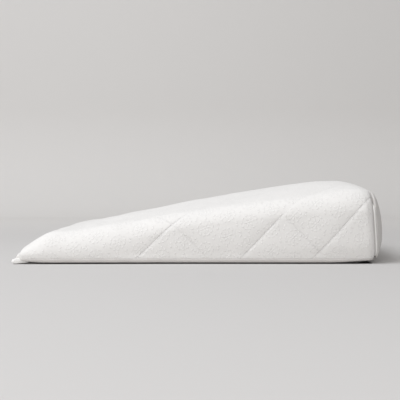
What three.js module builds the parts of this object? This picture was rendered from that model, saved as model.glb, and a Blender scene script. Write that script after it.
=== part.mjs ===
import * as THREE from 'three';

// Wedge pillow: a foam wedge in a quilted knit cover. Sizes are in millimetres.
// +X runs from the thin toe to the thick end, +Y from the near side to the far side and +Z up.
// The origin lies on the resting surface, under the middle of the whole pillow.

// Driving dimensions
const CLEARANCE = 0.3; // gap between two pieces that meet
const LENGTH_TO_SEAM = 597; // from the toe to the seam round the thick end
const WIDTH = 600;
const BASE_SEAM_HEIGHT = 9.3; // the seam between the quilted cloth and the base panel
const END_BULGE = 41; // how far the thick end swells past its seam
const BULGE_HEIGHT = 58; // the swell is fullest this high up
const BULGE_REACH = 80; // and dies out this far above or below
const END_LEAN = 5; // how much further out the foot of the thick end stands than its top
const LEAN_START = 450;
const LEAN_HEIGHT = 125;
const EDGE_ROUND_DEPTH = 34; // how far in from the side the top edge is rounded
const SIDE_DRAW_IN = 4; // the sides pull in between their corners
const TOE_DRAW_IN = 6; // so does the toe
const TOE_DRAW_IN_REACH = 90;
const TUCK = 7; // the side turns in by this much down to the base seam
const TUCK_HEIGHT = 16;
const TOE_CORNER_RADIUS = 7;
const END_CORNER_RADIUS = 14;

// Side and top along the length. `wall` is the height of the upright part of the side, `roll` the rise
// of the rounded edge above it and `crown` the rise of the top from that edge to the middle.
const PROFILE = [
  { along: 0, wall: 16.5, roll: 4.5, crown: 0.5 },
  { along: 4, wall: 17.5, roll: 9.5, crown: 0.7 },
  { along: 10, wall: 16, roll: 15, crown: 1 },
  { along: 25, wall: 15, roll: 25.5, crown: 1.8 },
  { along: 50, wall: 14.5, roll: 35.5, crown: 3 },
  { along: 85, wall: 12, roll: 43, crown: 5.5 },
  { along: 135, wall: 15, roll: 46, crown: 9 },
  { along: 200, wall: 31, roll: 40.5, crown: 12 },
  { along: 280, wall: 48.5, roll: 35, crown: 15.5 },
  { along: 370, wall: 61, roll: 34.5, crown: 19.5 },
  { along: 450, wall: 69, roll: 36.5, crown: 22.5 },
  { along: 520, wall: 73, roll: 40, crown: 24.5 },
  { along: 555, wall: 77, roll: 41, crown: 22 },
  { along: 580, wall: 77.5, roll: 39, crown: 22 },
  { along: LENGTH_TO_SEAM, wall: 73, roll: 37, crown: 22 },
];

// The quilted cloth is a net of squares, so that the diagonal quilting runs corner to corner over them.
const NET_PITCH = 11;
const TOE_STATIONS = [0, 1.5, 4, 8, 14, 22];
const END_STATIONS_BACK = [16, 10, 5, 1.5, 0];
const SQUARES_ACROSS = 66;
const BASE_STEPS = 6;

// Quilting lines, each by the net station where it leaves the near base seam, or would if the cloth
// went on. Rising lines climb the near side towards the thick end, falling lines towards the toe.
const RISING_LINES = [-59, -43, -27, -11, 5, 21, 37, 48];
const FALLING_LINES = [15, 32, 50, 67, 83, 99, 115];
const QUILT_DEPTH = 2.6; // trough under each line
const QUILT_TROUGH = 8; // half width of the trough
const QUILT_PUFF = 1.8; // swell of the padding between the lines
const QUILT_PUFF_REACH = 34;
const QUILT_FADE = { start: 90, full: 190, least: 0.25 }; // the toe is stretched almost smooth
const QUILT_END_FADE = 14; // the relief dies out into the seams

// Seam round the thick end
const SEAM_THICKNESS = 3.3;
const SEAM_STANDS_PROUD = 2;
const SEAM_ALLOWANCE = 6;

// Base panel: its rim is widest at mid height, and its toe is lifted off the surface a little
const BASE_RIM_INSET = 1.4;
const BASE_RIM_HEIGHT = 5;
const TOE_LIFT = { reach: 60, inset: 18 };

// Pinched cover corners at the toe
const EAR_REACH = 13; // past the toe
const EAR_TIP_OUT = 7; // past the base corner, sideways
const EAR_TIP_HALF_WIDTH = 3.6;
const EAR_ROOT = 9; // how much of the toe's edge the ear is sewn along
const EAR_CURVE_STEPS = 5;
const EAR_LEVELS = [
  { height: 0.9, inset: 1.6 },
  { height: 2.4, inset: 0.5 },
  { height: 4.8, inset: 0 },
  { height: 7.2, inset: 0.5 },
  { height: 8.7, inset: 1.6 },
];
const EAR_HUB = { x: 8, y: 3 }; // a place inside the ear, from its tip, that sees its whole outline

const ORIGIN_FROM_TOE = (LENGTH_TO_SEAM + END_LEAN / 2 + END_BULGE - EAR_REACH) / 2;

const UP = new THREE.Vector3(0, 0, 1);
const AWAY_FROM_TOE = new THREE.Vector3(1, 0, 0);

/** Value of one column of a table at a place along it, on a smooth curve through its rows. */
function smoothColumn(rows, column, along) {
  const last = rows.length - 2;
  let k = rows.findIndex((row) => row.along > along) - 1;
  if (k < 0) k = along <= rows[0].along ? 0 : last;
  const slope = (n) => {
    const a = rows[Math.max(n - 1, 0)];
    const b = rows[Math.min(n + 1, rows.length - 1)];
    return (b[column] - a[column]) / (b.along - a.along);
  };
  const [from, to] = [rows[k], rows[k + 1]];
  const span = to.along - from.along;
  const t = THREE.MathUtils.clamp((along - from.along) / span, 0, 1);
  const rise = to[column] - from[column];
  const startSlope = slope(k) * span;
  const endSlope = slope(k + 1) * span;
  return from[column] + t * (startSlope + t * (3 * rise - 2 * startSlope - endSlope
    + t * (startSlope + endSlope - 2 * rise)));
}

/** How far a rounded plan corner of this radius falls back, at a distance from the end of the side. */
function cornerFallBack(radius, distance) {
  if (distance >= radius) return 0;
  return radius - Math.sqrt(radius ** 2 - (radius - distance) ** 2);
}

/** Half the width of the pillow at a place along it. */
function halfWidth(along) {
  return WIDTH / 2 - SIDE_DRAW_IN * Math.sin(Math.PI * along / LENGTH_TO_SEAM) ** 2
    - cornerFallBack(TOE_CORNER_RADIUS, along)
    - cornerFallBack(END_CORNER_RADIUS, LENGTH_TO_SEAM - along);
}

/** Moves a point of the straight pillow to where the drawn-in toe and the leaning end carry it. */
function settle(x, y, z) {
  const toe = Math.max(0, 1 - x / TOE_DRAW_IN_REACH) ** 2;
  const end = THREE.MathUtils.clamp((x - LEAN_START) / (LENGTH_TO_SEAM - LEAN_START), 0, 1) ** 2;
  const drawIn = TOE_DRAW_IN * toe * (1 - Math.min(1, Math.abs(y) / (WIDTH / 2)) ** 2);
  const lean = END_LEAN * end * (1 - z / LEAN_HEIGHT);
  return new THREE.Vector3(x + drawIn + lean, y, z);
}

/** Near half of a cross-section, from the base seam up the side and over the edge to the middle. */
function halfSection(along) {
  const half = halfWidth(along);
  const wall = smoothColumn(PROFILE, 'wall', along);
  const roll = smoothColumn(PROFILE, 'roll', along);
  const crown = smoothColumn(PROFILE, 'crown', along);
  const crownAt = (y) => crown * (1 - (y / half) ** 2);
  const tuckHeight = Math.min(TUCK_HEIGHT, wall - BASE_SEAM_HEIGHT);
  const steps = 24;
  const points = [];
  for (let k = 0; k < steps; k += 1) {
    const z = THREE.MathUtils.lerp(BASE_SEAM_HEIGHT, wall, k / steps);
    const up = Math.min(1, (z - BASE_SEAM_HEIGHT) / tuckHeight);
    points.push(new THREE.Vector2(half - TUCK * (1 - up) ** 2, z));
  }
  for (let k = 0; k <= steps; k += 1) {
    const turn = (Math.PI / 2) * (k / steps);
    const y = half - EDGE_ROUND_DEPTH * (1 - Math.cos(turn));
    points.push(new THREE.Vector2(y, wall + roll * Math.sin(turn) + crownAt(y)));
  }
  for (let k = 1; k <= steps; k += 1) {
    const y = (half - EDGE_ROUND_DEPTH) * (1 - k / steps);
    points.push(new THREE.Vector2(y, wall + roll + crownAt(y)));
  }
  return points.map((point) => new THREE.Vector2(-point.x, point.y));
}

/** Points at even spacing along a polyline, and the way out of it at each. */
function evenlySpaced(points, count) {
  const reached = [0];
  for (let k = 1; k < points.length; k += 1) {
    reached.push(reached[k - 1] + points[k].distanceTo(points[k - 1]));
  }
  const total = reached.at(-1);
  const even = [];
  for (let n = 0, k = 1; n <= count; n += 1) {
    const target = (total * n) / count;
    while (k < points.length - 1 && reached[k] < target) k += 1;
    const step = points[k].clone().sub(points[k - 1]);
    const t = (target - reached[k - 1]) / (reached[k] - reached[k - 1]);
    const out = new THREE.Vector2(-step.y, step.x).normalize();
    even.push({ at: points[k - 1].clone().addScaledVector(step, t), out });
  }
  return even;
}

/** Relief of the quilting at a crossing of the net. */
function quiltRelief(station, across, along) {
  const toMillimetres = NET_PITCH * Math.SQRT1_2;
  const nearest = (lines, here) => Math.min(...lines.map((line) => Math.abs(here - line)));
  const distances = [nearest(RISING_LINES, station - across), nearest(FALLING_LINES, station + across)];
  const distance = Math.min(...distances) * toMillimetres;
  const trough = -QUILT_DEPTH * Math.exp(-((distance / QUILT_TROUGH) ** 2));
  const puff = QUILT_PUFF * (1 - Math.exp(-((distance / QUILT_PUFF_REACH) ** 2)));
  const fade = THREE.MathUtils.smoothstep(along, QUILT_FADE.start, QUILT_FADE.full);
  const strength = THREE.MathUtils.lerp(QUILT_FADE.least, 1, fade);
  const toSeam = Math.min(1, (LENGTH_TO_SEAM - along) / QUILT_END_FADE);
  const toBase = Math.min(1, Math.min(across, SQUARES_ACROSS - across) / 1.5);
  return (trough + puff) * strength * toSeam * toBase;
}

/** Places along the pillow where its cross-sections lie. */
function stations() {
  const places = [...TOE_STATIONS];
  const lastEven = LENGTH_TO_SEAM - END_STATIONS_BACK[0] - NET_PITCH / 2;
  for (let x = TOE_STATIONS.at(-1) + NET_PITCH; x <= lastEven; x += NET_PITCH) places.push(x);
  return places.concat(END_STATIONS_BACK.map((back) => LENGTH_TO_SEAM - back));
}

/** One closed cross-section of the quilted body, over the top and back along the base seam level. */
function bodyRing(along, station) {
  const near = halfSection(along);
  const far = near.slice(0, -1).reverse().map((point) => new THREE.Vector2(-point.x, point.y));
  const ring = evenlySpaced([...near, ...far], SQUARES_ACROSS).map(({ at, out }, across) => {
    const point = at.clone().addScaledVector(out, quiltRelief(station, across, along));
    return settle(along, point.x, Math.max(point.y, BASE_SEAM_HEIGHT));
  });
  const [first, last] = [near[0], far.at(-1)];
  for (let k = 1; k < BASE_STEPS; k += 1) {
    ring.push(settle(along, THREE.MathUtils.lerp(last.x, first.x, k / BASE_STEPS), BASE_SEAM_HEIGHT));
  }
  return ring;
}

/** A closed geometry from its corner points and triangles. */
function closedGeometry(points, triangles) {
  const geometry = new THREE.BufferGeometry();
  geometry.setAttribute('position', new THREE.Float32BufferAttribute(points.flatMap((p) => p.toArray()), 3));
  geometry.setIndex(triangles.flat());
  geometry.computeVertexNormals();
  return geometry;
}

/** Middle of a ring of points. */
function middleOf(ring) {
  return ring.reduce((sum, p) => sum.add(p), new THREE.Vector3()).divideScalar(ring.length);
}

/**
 * A solid skinned over closed rings and shut by a fan at each end. `leansForward(k, n)` tells which
 * diagonal splits the square that starts at ring k and point n, and `hub(ring)` where its fan starts.
 */
function skinRings(rings, { leansForward = () => true, hub = middleOf } = {}) {
  const size = rings[0].length;
  const points = [...rings.flat(), hub(rings[0]), hub(rings.at(-1))];
  const at = (k, n) => k * size + (n % size);
  const triangles = [];
  for (let k = 0; k < rings.length - 1; k += 1) {
    for (let n = 0; n < size; n += 1) {
      const corners = [at(k, n), at(k + 1, n), at(k + 1, n + 1), at(k, n + 1)];
      const [a, b, c, d] = leansForward(k, n) ? corners : [...corners.slice(1), corners[0]];
      triangles.push([a, b, c], [a, c, d]);
    }
  }
  const last = rings.length - 1;
  for (let n = 0; n < size; n += 1) {
    triangles.push([points.length - 2, at(0, n), at(0, n + 1)]);
    triangles.push([points.length - 1, at(last, n + 1), at(last, n)]);
  }
  return closedGeometry(points, triangles);
}

/** The foam wedge in its quilted cloth, one filled solid from the base seam to the crown. */
function quiltedBody() {
  const rings = stations().map((along, station) => bodyRing(along, station));
  const toLine = (lines, here) => Math.min(...lines.map((line) => Math.abs(here - line)));
  const leansForward = (station, across) => toLine(RISING_LINES, station - across)
    <= toLine(FALLING_LINES, station + across + 1);
  return skinRings(rings, { leansForward });
}

/** The loop of a closed outline moved in along its own plane, `axis` being the way the plane faces. */
function insetLoop(loop, axis, inset) {
  return loop.map((point, n) => {
    const before = loop[(n + loop.length - 1) % loop.length];
    const after = loop[(n + 1) % loop.length];
    const inward = axis.clone().cross(after.clone().sub(before)).normalize();
    return point.clone().addScaledVector(inward, typeof inset === 'function' ? inset(point) : inset);
  });
}

/** Outline of the quilted body at its base seam, anticlockwise from above. */
function baseOutline() {
  const rings = stations().map((along, station) => bodyRing(along, station));
  const near = rings.map((ring) => ring[0]);
  const far = rings.map((ring) => ring[SQUARES_ACROSS]).reverse();
  const foot = (ring) => ring.slice(SQUARES_ACROSS + 1);
  return [...near, ...foot(rings.at(-1)).reverse(), ...far, ...foot(rings[0])];
}

/** The base panel: flat below, its edge turned up to the base seam and its toe lifted a little. */
function basePanel() {
  const toeLift = (point) => TOE_LIFT.inset * Math.max(0, 1 - point.x / TOE_LIFT.reach) ** 2;
  const levels = [
    { height: 0, inset: (point) => 7 + toeLift(point) },
    { height: 2, inset: (point) => 3.2 + toeLift(point) / 2 },
    { height: BASE_RIM_HEIGHT, inset: BASE_RIM_INSET },
    { height: BASE_SEAM_HEIGHT - CLEARANCE, inset: BASE_RIM_INSET + 0.4 },
  ];
  const rings = levels.map(({ height, inset }) => insetLoop(baseOutline(), UP, inset)
    .map((point) => point.setZ(height)));
  return skinRings(rings.reverse());
}

/** Outline of the thick end at a distance past the body's flat end, seen from the toe. */
function endOutline(past) {
  const along = LENGTH_TO_SEAM;
  return bodyRing(along, stations().length - 1).map((point) => point.clone().setX(point.x + past));
}

/** The sewn seam round the thick end, a ring that stands a little proud of the cloth. */
function endSeam() {
  const start = CLEARANCE;
  const stop = CLEARANCE + SEAM_THICKNESS;
  const proud = SEAM_STANDS_PROUD;
  const section = [
    { past: start, out: -SEAM_ALLOWANCE },
    { past: start, out: proud * 0.4 },
    { past: start + 0.9, out: proud },
    { past: stop - 0.9, out: proud },
    { past: stop, out: proud * 0.4 },
    { past: stop, out: -SEAM_ALLOWANCE },
  ];
  const loops = section.map(({ past, out }) => insetLoop(endOutline(past), AWAY_FROM_TOE, out));
  const size = loops[0].length;
  const triangles = [];
  loops.forEach((loop, k) => {
    for (let n = 0; n < size; n += 1) {
      const next = (k + 1) % loops.length;
      const [a, b] = [k * size + n, k * size + ((n + 1) % size)];
      const [c, d] = [next * size + ((n + 1) % size), next * size + n];
      triangles.push([a, d, c], [a, c, b]);
    }
  });
  return closedGeometry(loops.flat(), triangles);
}

/** The plain panel of the thick end, swollen by the foam behind it. */
function endPanel() {
  const inner = SEAM_ALLOWANCE + CLEARANCE;
  const rim = SEAM_THICKNESS + 2 * CLEARANCE;
  const rimEdge = 1.3;
  const back = [
    insetLoop(endOutline(CLEARANCE), AWAY_FROM_TOE, -inner),
    insetLoop(endOutline(rim), AWAY_FROM_TOE, -inner),
    insetLoop(endOutline(rim), AWAY_FROM_TOE, -0.8),
  ];
  const outline = endOutline(rim + rimEdge);
  const middle = middleOf(outline);
  const half = halfWidth(LENGTH_TO_SEAM);
  const swellAt = (point, share) => {
    const sideways = Math.max(0, 1 - (point.y / half) ** 2) ** 0.38;
    const upright = Math.max(0, 1 - ((point.z - BULGE_HEIGHT) / BULGE_REACH) ** 2) ** 0.75;
    return (END_BULGE - rim - rimEdge) * sideways * upright * Math.sqrt(1 - share ** 6);
  };
  const shares = [1, 0.985, 0.955, 0.905, 0.83, 0.72, 0.56, 0.36, 0.15];
  const front = shares.map((share) => outline.map((point) => {
    const moved = middle.clone().lerp(point, share);
    return moved.setX(moved.x + swellAt(moved, share));
  }));
  return skinRings([...back, ...front]);
}

/** A pinched corner of the cover at the toe, on the near (-1) or the far (+1) side. */
function cornerEar(side) {
  const corner = insetLoop(baseOutline(), UP, BASE_RIM_INSET - CLEARANCE)
    .map((point) => new THREE.Vector2(point.x, point.y));
  const alongToe = corner.at(-1).clone().sub(corner[0]).setLength(EAR_ROOT);
  const root = [corner[0].clone().add(alongToe), ...corner.slice(0, 4)];
  const last = root.at(-1);
  const tip = new THREE.Vector2(-EAR_REACH, corner[0].y - EAR_TIP_OUT);
  const half = EAR_TIP_HALF_WIDTH;
  const shape = new THREE.Shape(root);
  shape.quadraticCurveTo(0, last.y - half, tip.x + half, tip.y - half);
  shape.quadraticCurveTo(tip.x - half, tip.y, tip.x + half, tip.y + half);
  shape.quadraticCurveTo(root[0].x - half, tip.y + 2 * half, root[0].x, root[0].y);
  const flat = shape.getPoints(EAR_CURVE_STEPS).slice(0, -1);
  const outline = flat.map((point) => new THREE.Vector3(point.x, point.y * -side, 0));
  if (side < 0) outline.reverse();
  const rings = EAR_LEVELS.map(({ height, inset }) => insetLoop(outline, UP, inset)
    .map((point) => point.setZ(height)));
  const hub = (ring) => new THREE.Vector3(tip.x + EAR_HUB.x, (tip.y + EAR_HUB.y) * -side, ring[0].z);
  return skinRings(rings.reverse(), { hub });
}

const quiltedCloth = new THREE.MeshStandardMaterial({ color: 0xf1efed, roughness: 0.92, metalness: 0 });
const plainCloth = new THREE.MeshStandardMaterial({ color: 0xe9e6e3, roughness: 0.95, metalness: 0 });
const seamCloth = new THREE.MeshStandardMaterial({ color: 0xf4f2f0, roughness: 0.9, metalness: 0 });

const pillow = new THREE.Group();
pillow.position.set(-ORIGIN_FROM_TOE, 0, 0);

/** Adds one named piece to the pillow. */
function add(name, geometry, material) {
  const mesh = new THREE.Mesh(geometry, material);
  mesh.name = name;
  pillow.add(mesh);
  return mesh;
}

add('quilted_body', quiltedBody(), quiltedCloth);
add('base_panel', basePanel(), plainCloth);
add('end_seam', endSeam(), seamCloth);
add('end_panel', endPanel(), plainCloth);
add('toe_ear_near', cornerEar(-1), quiltedCloth.clone());
add('toe_ear_far', cornerEar(1), quiltedCloth.clone());

const part = new THREE.Group();
part.add(pillow);

export default part;
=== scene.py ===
"""Wedge pillow: a foam wedge in a quilted knit cover, dressed round its CAD frame.

Sizes are in metres. +X runs from the thin toe to the thick end, +Y from the near side to the far
side and +Z up. `along` is a distance from the toe, and the origin lies under the middle.
"""
import logging
import math
from dataclasses import dataclass, field
from enum import Enum

import bmesh
import bpy
import numpy as np
from bmesh.types import BMEdge, BMesh, BMVert
from bpy.types import Material, Mesh, Node, NodeSocket, NodeTree, Object
from mathutils import Matrix, Vector, noise
from mathutils.bvhtree import BVHTree


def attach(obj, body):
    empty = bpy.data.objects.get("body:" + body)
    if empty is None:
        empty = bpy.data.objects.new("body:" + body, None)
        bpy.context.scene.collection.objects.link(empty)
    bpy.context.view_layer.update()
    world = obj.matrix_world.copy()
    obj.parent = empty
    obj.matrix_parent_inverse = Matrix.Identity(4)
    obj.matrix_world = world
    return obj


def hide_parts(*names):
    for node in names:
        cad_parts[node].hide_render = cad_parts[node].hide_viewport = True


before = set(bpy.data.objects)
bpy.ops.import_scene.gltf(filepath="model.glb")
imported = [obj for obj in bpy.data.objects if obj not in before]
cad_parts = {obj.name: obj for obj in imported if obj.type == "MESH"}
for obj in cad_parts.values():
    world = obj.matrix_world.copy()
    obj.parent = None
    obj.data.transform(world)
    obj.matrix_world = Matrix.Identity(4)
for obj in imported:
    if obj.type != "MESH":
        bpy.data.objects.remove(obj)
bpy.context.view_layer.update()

LOG = logging.getLogger("wedge_pillow")
MM = 0.001
TIGHT = 1e-5
CLOTH_UV = "cloth"
LINE_DISTANCE = "line_distance"


class Slot(Enum):
    """Material slots of the record."""

    QUILTED = "quilted_knit"
    PLAIN = "plain_knit"
    SEAM = "seam_knit"


def mesh_object(name: str, mesh: Mesh) -> Object:
    """Links a new object that holds a mesh.

    Args:
        name: Name of the object and its mesh.
        mesh: The finished mesh.

    Returns:
        The new object, at the origin.
    """
    mesh.name = name
    obj = bpy.data.objects.new(name, mesh)
    bpy.context.scene.collection.objects.link(obj)
    return obj


def to_mesh(bm: BMesh) -> Mesh:
    """Turns a bmesh into a smooth mesh and frees it."""
    for face in bm.faces:
        face.smooth = True
    mesh = bpy.data.meshes.new("mesh")
    bm.to_mesh(mesh)
    bm.free()
    return mesh


def closed_mesh(bm: BMesh) -> Mesh:
    """Turns the faces of a closed bmesh outwards and makes it a mesh."""
    bmesh.ops.recalc_face_normals(bm, faces=bm.faces)
    if bm.calc_volume(signed=True) < 0:
        bmesh.ops.reverse_faces(bm, faces=bm.faces)
    return to_mesh(bm)


def reopened(mesh: Mesh) -> BMesh:
    """Takes a mesh back into a bmesh and removes the mesh."""
    bm = bmesh.new()
    bm.from_mesh(mesh)
    bpy.data.meshes.remove(mesh)
    return bm


def square_net(across: int, up: int, half: float) -> Mesh:
    """Flat net over the square that reaches `half` each way from the origin."""
    bm = bmesh.new()
    bmesh.ops.create_grid(bm, x_segments=across, y_segments=up, size=half)
    return to_mesh(bm)


def drawn_out(bm: BMesh, edges: list[BMEdge]) -> tuple[list[BMEdge], list[BMVert]]:
    """Extrudes edges in place, and gives the new edges and the new vertices."""
    grown = bmesh.ops.extrude_edge_only(bm, edges=edges)["geom"]
    fresh = [item for item in grown if isinstance(item, BMVert)]
    return [item for item in grown if isinstance(item, BMEdge)], fresh


def coordinates(mesh: Mesh) -> np.ndarray:
    """Vertex places of a mesh as an array of rows."""
    places = np.empty(len(mesh.vertices) * 3)
    mesh.vertices.foreach_get("co", places)
    return places.reshape(-1, 3)


def set_coordinates(mesh: Mesh, places: np.ndarray) -> None:
    """Writes vertex places back to a mesh."""
    mesh.vertices.foreach_set("co", places.ravel())
    mesh.update()


def set_uv(mesh: Mesh, uv: np.ndarray) -> None:
    """Gives a mesh its cloth UV map, in metres, from one pair for each vertex."""
    layer = mesh.uv_layers.get(CLOTH_UV) or mesh.uv_layers.new(name=CLOTH_UV)
    corners = np.empty(len(mesh.loops), dtype=np.int32)
    mesh.loops.foreach_get("vertex_index", corners)
    layer.data.foreach_set("uv", uv[corners].ravel())


def smoothstep(value: np.ndarray, low: float, high: float) -> np.ndarray:
    """Smooth rise from 0 at `low` to 1 at `high`."""
    t = np.clip((value - low) / (high - low), 0, 1)
    return t * t * (3 - 2 * t)


def ripple(places: np.ndarray, wavelength: float, seed: float) -> np.ndarray:
    """Smooth noise between about -1 and 1 at each place, the same on every run."""
    shift = Vector((seed * 17.3, seed * 5.1, seed * 9.7))
    return np.array([noise.noise(Vector(p) / wavelength + shift) for p in places])


class Piece:
    """A dressed piece of the pillow, which rides on its one body."""

    slot: Slot
    node: str = ""
    fill: float = 0.0

    def build(self, *under: Object) -> Object:
        """Builds the piece, laid on another where it needs one."""
        raise NotImplementedError

    def dress(self, piece: Object, finish: Material) -> None:
        """Gives a built piece its finish and its place in the frame.

        Args:
            piece: The built piece.
            finish: Its material.
        """
        piece.data.materials.append(finish)
        if self.node:
            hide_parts(self.node)
        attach(piece, "root")


@dataclass(frozen=True)
class WedgeForm:
    """Shape of the foam wedge in its cover, as the CAD frame has it."""

    length: float = 0.597
    width: float = 0.600
    seam_height: float = 0.0093
    toe_to_origin: float = 0.31375
    lean: float = 0.008
    lean_start: float = 0.450
    lean_height: float = 0.125
    heel: float = 0.006
    heel_height: float = 0.024
    heel_reach: float = 0.050
    edge_depth: float = 0.034
    side_draw_in: float = 0.004
    toe_draw_in: float = 0.006
    toe_draw_in_reach: float = 0.090
    end_draw_in: float = 0.0032
    end_draw_in_reach: float = 0.062
    # along, depth and height of the side's turn inwards at the base seam, in millimetres
    tucks: tuple[tuple[float, float, float], ...] = (
        (0, 0.6, 10),
        (60, 1.5, 12),
        (200, 2.4, 16),
        (370, 3.0, 18),
        (450, 4.0, 22),
        (507, 5.5, 26),
        (560, 7.0, 31),
        (597, 8.0, 34),
    )
    corner_rise: float = 0.0038
    corner_rise_place: float = 0.268
    corner_rise_inward: float = 0.085
    corner_rise_outward: float = 0.022
    corner_rise_back: float = 0.045
    toe_corner: float = 0.007
    end_corner: float = 0.014
    section_steps: int = 24
    # along, height of the upright side, rise of the rounded edge, rise of the crown, in millimetres
    profile: tuple[tuple[float, float, float, float], ...] = (
        (0, 15.7, 4.5, 0.5),
        (4, 16.5, 9.5, 0.7),
        (10, 15.2, 15, 1),
        (25, 14.7, 25.5, 1.8),
        (50, 19.2, 33.5, 3),
        (85, 18.4, 36.5, 4.7),
        (135, 22.8, 39, 9),
        (165, 29.9, 37.3, 10.8),
        (200, 39.3, 32.8, 11.9),
        (280, 56.6, 29, 15.5),
        (370, 68.8, 28.5, 19.5),
        (450, 76.9, 30.5, 22.5),
        (520, 81.5, 34.5, 24.5),
        (555, 85, 36, 22),
        (580, 84, 36, 22.5),
        (597, 79.6, 35, 24),
    )

    def heights(self, along: float) -> np.ndarray:
        """Upright side, rounded edge and crown at a distance from the toe, on a smooth curve."""
        rows = np.array(self.profile) * MM
        places, values = rows[:, 0], rows[:, 1:]
        last = len(places) - 1
        k = int(np.clip(np.searchsorted(places, along, side="right") - 1, 0, last - 1))
        index = np.arange(last + 1)
        before, after = np.maximum(index - 1, 0), np.minimum(index + 1, last)
        slopes = (values[after] - values[before]) / (places[after] - places[before])[:, None]
        span = places[k + 1] - places[k]
        t = np.clip((along - places[k]) / span, 0, 1)
        start, end, rise = slopes[k] * span, slopes[k + 1] * span, values[k + 1] - values[k]
        bend = 3 * rise - 2 * start - end + t * (start + end - 2 * rise)
        return values[k] + t * (start + t * bend)

    def half_width(self, along: float) -> float:
        """Half the width of the pillow at a distance from the toe."""

        def fall_back(radius: float, distance: float) -> float:
            """How far a rounded plan corner falls back."""
            left = max(radius - distance, 0)
            return radius - math.sqrt(radius**2 - left**2)

        return (
            self.width / 2
            - self.side_draw_in * math.sin(math.pi * along / self.length) ** 2
            - self.end_draw_in * max(0.0, 1 - (self.length - along) / self.end_draw_in_reach) ** 2
            - fall_back(self.toe_corner, along)
            - fall_back(self.end_corner, self.length - along)
        )

    def tuck(self, along: float) -> tuple[float, float]:
        """Depth and height of the side's turn inwards at the base seam."""
        rows = np.array(self.tucks) * MM
        depth, height = (float(np.interp(along, rows[:, 0], rows[:, c])) for c in (1, 2))
        return depth, height

    def pinched(self, along: float, y: np.ndarray) -> np.ndarray:
        """Rise of the top towards the pinched corners of the thick end."""
        off = np.abs(y) - self.corner_rise_place
        reach = np.where(off < 0, self.corner_rise_inward, self.corner_rise_outward)
        back = math.exp(-(((self.length - along) / self.corner_rise_back) ** 2))
        return self.corner_rise * np.exp(-((off / reach) ** 2)) * back

    def settle(self, x: np.ndarray, y: np.ndarray, z: np.ndarray) -> np.ndarray:
        """Carries points of the straight pillow to the drawn-in toe and the leaning end."""
        toe = np.maximum(0, 1 - x / self.toe_draw_in_reach) ** 2
        end = np.clip((x - self.lean_start) / (self.length - self.lean_start), 0, 1) ** 2
        draw_in = self.toe_draw_in * toe * (1 - np.minimum(1, np.abs(y) / (self.width / 2)) ** 2)
        lean = self.lean * end * (1 - z / self.lean_height)
        heel_share = np.clip((x - self.length) / self.heel_reach + 1, 0, 1) ** 2
        heel = self.heel * heel_share * np.clip(1 - z / self.heel_height, 0, 1) ** 2
        return np.stack([x + draw_in + lean - heel - self.toe_to_origin, y, z], axis=-1)

    def section(self, along: float) -> np.ndarray:
        """Cross-section as rows of (y, z), from the near base seam over the top to the far one."""
        half = self.half_width(along)
        wall, roll, crown = self.heights(along)
        tuck, tuck_height = self.tuck(along)
        tuck_height = min(tuck_height, wall - self.seam_height)
        steps = np.arange(self.section_steps + 1) / self.section_steps
        side_z = self.seam_height + (wall - self.seam_height) * steps[:-1]
        up = np.minimum(1, (side_z - self.seam_height) / tuck_height)
        side = np.stack([half - tuck * (1 - up) ** 2, side_z], axis=-1)
        turn = steps * math.pi / 2
        edge_y = half - self.edge_depth * (1 - np.cos(turn))
        edge_z = wall + roll * np.sin(turn) + crown * (1 - (edge_y / half) ** 2)
        edge = np.stack([edge_y, edge_z], axis=-1)
        top_y = (half - self.edge_depth) * (1 - steps[1:])
        top = np.stack([top_y, wall + roll + crown * (1 - (top_y / half) ** 2)], axis=-1)
        near = np.concatenate([side, edge, top])
        near[len(side) :, 1] += self.pinched(along, near[len(side) :, 0])
        near = near * [-1, 1]
        return np.concatenate([near, near[-2::-1] * [-1, 1]])


class ClothTable:
    """Points and outward normals of the wedge on a fine net of places in the cloth."""

    def __init__(self, form: WedgeForm, stations: int = 400, shares: int = 528) -> None:
        """Measures the wedge.

        Args:
            form: Shape of the wedge.
            stations: Number of steps from the toe to the end seam.
            shares: Number of steps from the near base seam over the top to the far one.
        """
        self.form = form
        self.stations = stations
        self.shares = shares
        alongs = np.linspace(0, form.length, stations + 1)
        even = np.linspace(0, 1, shares + 1)
        points = np.empty((stations + 1, shares + 1, 3))
        self.arcs = np.empty(stations + 1)
        for row, along in enumerate(alongs):
            ring = form.section(float(along))
            steps = np.linalg.norm(np.diff(ring, axis=0), axis=1)
            reached = np.concatenate([[0], np.cumsum(steps)])
            self.arcs[row] = reached[-1]
            y, z = (np.interp(even * reached[-1], reached, ring[:, c]) for c in (0, 1))
            points[row] = form.settle(np.full_like(y, along), y, z)
        self.points = points
        normals = np.cross(np.gradient(points, axis=0), np.gradient(points, axis=1))
        self.normals = normals / np.linalg.norm(normals, axis=2, keepdims=True)

    def at(self, along: np.ndarray, share: np.ndarray) -> tuple[np.ndarray, np.ndarray]:
        """Points and outward normals at places in the cloth.

        Args:
            along: Distances from the toe.
            share: Shares of the way from the near base seam over the top to the far one.

        Returns:
            The points and the unit normals, one row each.
        """
        last = 1e-6
        u = np.clip(along / self.form.length * self.stations, 0, self.stations - last)
        v = np.clip(share * self.shares, 0, self.shares - last)
        i, j = u.astype(int), v.astype(int)
        s, t = (u - i)[:, None], (v - j)[:, None]

        def blend(table: np.ndarray) -> np.ndarray:
            """Value between the four nearest entries."""
            low = table[i, j] * (1 - t) + table[i, j + 1] * t
            high = table[i + 1, j] * (1 - t) + table[i + 1, j + 1] * t
            return low * (1 - s) + high * s

        normals = blend(self.normals)
        return blend(self.points), normals / np.linalg.norm(normals, axis=1, keepdims=True)

    def arc(self, along: np.ndarray) -> np.ndarray:
        """Width of the cloth from seam to seam at distances from the toe."""
        return np.interp(along, np.linspace(0, self.form.length, self.stations + 1), self.arcs)


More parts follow.
